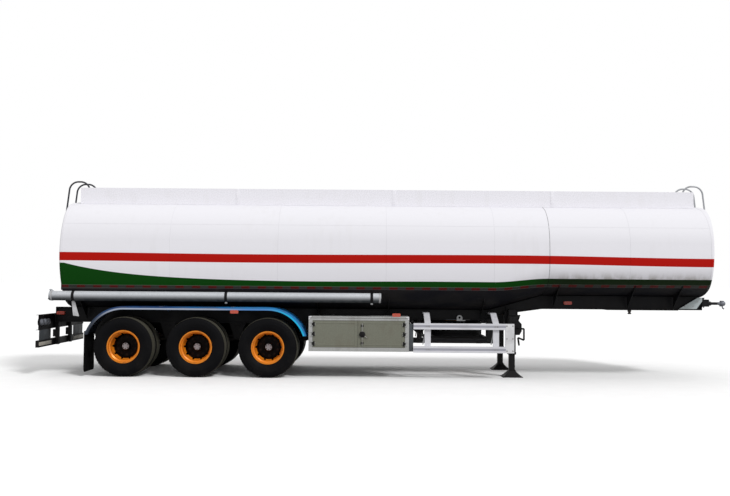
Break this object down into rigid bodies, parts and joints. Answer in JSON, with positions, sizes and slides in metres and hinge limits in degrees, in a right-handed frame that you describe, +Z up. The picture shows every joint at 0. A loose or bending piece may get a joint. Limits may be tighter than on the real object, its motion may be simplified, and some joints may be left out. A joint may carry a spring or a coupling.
{
  "type": "tanker semi-trailer",
  "caption": "Fuel tanker semi-trailer with a stepped oval barrel, spill coaming, hose tubes, valve cabinets, twin wheels on leaf springs, landing legs and kingpin.",
  "frame": {"origin": "centre of the overall box, on the ground", "axes": "+X to the front, +Y to the left side, +Z up"},
  "size_m": [12.8, 2.5076, 3.661],
  "materials": {
    "barrel_paint": "semi-gloss white paint with dirt",
    "chassis_paint": "satin blue-black paint",
    "sheet_aluminium": "mill-finished sheet",
    "guard_aluminium": "grooved extrusion, dull",
    "cabinet_paint": "satin grey paint",
    "tube_metal": "dull tube",
    "mudguard_plastic": "blue protective film",
    "tyre_rubber": "matt",
    "rim_paint": "semi-gloss orange paint",
    "axle_iron": "dusty black",
    "spring_steel": "dusty black",
    "flap_rubber": "matt",
    "lamp_red": "clear red lens",
    "marker_orange": "clear orange-red lens",
    "coupling_metal": "cast fittings",
    "kingpin_steel": "greased steel",
    "pipe_aluminium": "welded pipe"
  },
  "bodies": {
    "trailer": {"air_couplings": "coupling_metal", "air_reservoirs": "chassis_paint", "axle_beams": "axle_iron", "chassis_rails": "chassis_paint", "coupler_plate": "chassis_paint", "cross_members": "chassis_paint", "discharge_pipes": "pipe_aluminium", "front_bracket": "chassis_paint", "hose_brackets": "sheet_aluminium", "hose_tubes": "tube_metal", "kingpin": "kingpin_steel", "ladders": "sheet_aluminium", "landing_gear_drive": "chassis_paint", "landing_legs": "cabinet_paint", "leaf_springs": "spring_steel", "manholes": "sheet_aluminium", "marker_lamps": "marker_orange", "mud_flaps": "flap_rubber", "mudguards": "mudguard_plastic", "neck_rails": "chassis_paint", "outriggers": "chassis_paint", "rear_bumper": "chassis_paint", "side_guards": "guard_aluminium", "spare_carrier": "chassis_paint", "spare_rim": "rim_paint", "spare_tyre": "tyre_rubber", "spill_coaming": "sheet_aluminium", "spring_hangers": "chassis_paint", "tail_lamps": "lamp_red", "tank_cone": "barrel_paint", "tank_front_barrel": "barrel_paint", "tank_front_head": "barrel_paint", "tank_rear_barrel": "barrel_paint", "tank_rear_head": "barrel_paint", "valve_cabinets": "cabinet_paint", "walkways": "sheet_aluminium"},
    "wheel_rear_right": {"wheel_rear_right": "rim_paint", "tyres_rear_right": "tyre_rubber"},
    "wheel_rear_left": {"wheel_rear_left": "rim_paint", "tyres_rear_left": "tyre_rubber"},
    "wheel_middle_right": {"wheel_middle_right": "rim_paint", "tyres_middle_right": "tyre_rubber"},
    "wheel_middle_left": {"wheel_middle_left": "rim_paint", "tyres_middle_left": "tyre_rubber"},
    "wheel_front_right": {"wheel_front_right": "rim_paint", "tyres_front_right": "tyre_rubber"},
    "wheel_front_left": {"wheel_front_left": "rim_paint", "tyres_front_left": "tyre_rubber"},
    "rear_door_right": {"rear_door_right": "cabinet_paint"},
    "front_door_right": {"front_door_right": "cabinet_paint"},
    "rear_door_left": {"rear_door_left": "cabinet_paint"},
    "front_door_left": {"front_door_left": "cabinet_paint"},
    "hose_cap_right": {"hose_cap_right": "tube_metal"},
    "hose_cap_left": {"hose_cap_left": "tube_metal"},
    "fill_lid_1": {"fill_lid_1": "sheet_aluminium"},
    "fill_lid_2": {"fill_lid_2": "sheet_aluminium"},
    "fill_lid_3": {"fill_lid_3": "sheet_aluminium"},
    "fill_lid_4": {"fill_lid_4": "sheet_aluminium"},
    "fill_lid_5": {"fill_lid_5": "sheet_aluminium"}
  },
  "joints": [
    {"name": "wheel_rear_right_spin", "type": "hinge", "parent": "trailer", "child": "wheel_rear_right", "pos_m": [-4.82, -0.925, 0.542], "axis": [0, 1, 0], "continuous": true},
    {"name": "wheel_rear_left_spin", "type": "hinge", "parent": "trailer", "child": "wheel_rear_left", "pos_m": [-4.82, 0.925, 0.542], "axis": [0, 1, 0], "continuous": true},
    {"name": "wheel_middle_right_spin", "type": "hinge", "parent": "trailer", "child": "wheel_middle_right", "pos_m": [-3.51, -0.925, 0.542], "axis": [0, 1, 0], "continuous": true},
    {"name": "wheel_middle_left_spin", "type": "hinge", "parent": "trailer", "child": "wheel_middle_left", "pos_m": [-3.51, 0.925, 0.542], "axis": [0, 1, 0], "continuous": true},
    {"name": "wheel_front_right_spin", "type": "hinge", "parent": "trailer", "child": "wheel_front_right", "pos_m": [-2.2, -0.925, 0.542], "axis": [0, 1, 0], "continuous": true},
    {"name": "wheel_front_left_spin", "type": "hinge", "parent": "trailer", "child": "wheel_front_left", "pos_m": [-2.2, 0.925, 0.542], "axis": [0, 1, 0], "continuous": true},
    {"name": "rear_door_right_hinge", "type": "hinge", "parent": "trailer", "child": "rear_door_right", "pos_m": [-1.39, -1.24, 0.805], "axis": [0, 0, -1], "range_deg": [0, 110]},
    {"name": "front_door_right_hinge", "type": "hinge", "parent": "trailer", "child": "front_door_right", "pos_m": [0.29, -1.24, 0.805], "axis": [0, 0, 1], "range_deg": [0, 110]},
    {"name": "rear_door_left_hinge", "type": "hinge", "parent": "trailer", "child": "rear_door_left", "pos_m": [-1.39, 1.24, 0.805], "axis": [0, 0, 1], "range_deg": [0, 110]},
    {"name": "front_door_left_hinge", "type": "hinge", "parent": "trailer", "child": "front_door_left", "pos_m": [0.29, 1.24, 0.805], "axis": [0, 0, -1], "range_deg": [0, 110]},
    {"name": "hose_cap_right_hinge", "type": "hinge", "parent": "trailer", "child": "hose_cap_right", "pos_m": [-6.18, -1.162, 1.5685], "axis": [0, 1, 0], "range_deg": [0, 100]},
    {"name": "hose_cap_left_hinge", "type": "hinge", "parent": "trailer", "child": "hose_cap_left", "pos_m": [-6.18, 1.162, 1.5685], "axis": [0, 1, 0], "range_deg": [0, 100]},
    {"name": "fill_lid_1_hinge", "type": "hinge", "parent": "trailer", "child": "fill_lid_1", "pos_m": [-4.872, 0, 3.3843], "axis": [0, -1, 0], "range_deg": [0, 95]},
    {"name": "fill_lid_2_hinge", "type": "hinge", "parent": "trailer", "child": "fill_lid_2", "pos_m": [-2.522, 0, 3.3843], "axis": [0, -1, 0], "range_deg": [0, 95]},
    {"name": "fill_lid_3_hinge", "type": "hinge", "parent": "trailer", "child": "fill_lid_3", "pos_m": [-0.172, 0, 3.3843], "axis": [0, -1, 0], "range_deg": [0, 95]},
    {"name": "fill_lid_4_hinge", "type": "hinge", "parent": "trailer", "child": "fill_lid_4", "pos_m": [2.178, 0, 3.3843], "axis": [0, -1, 0], "range_deg": [0, 95]},
    {"name": "fill_lid_5_hinge", "type": "hinge", "parent": "trailer", "child": "fill_lid_5", "pos_m": [4.528, 0, 3.3843], "axis": [0, -1, 0], "range_deg": [0, 95]}
  ]
}
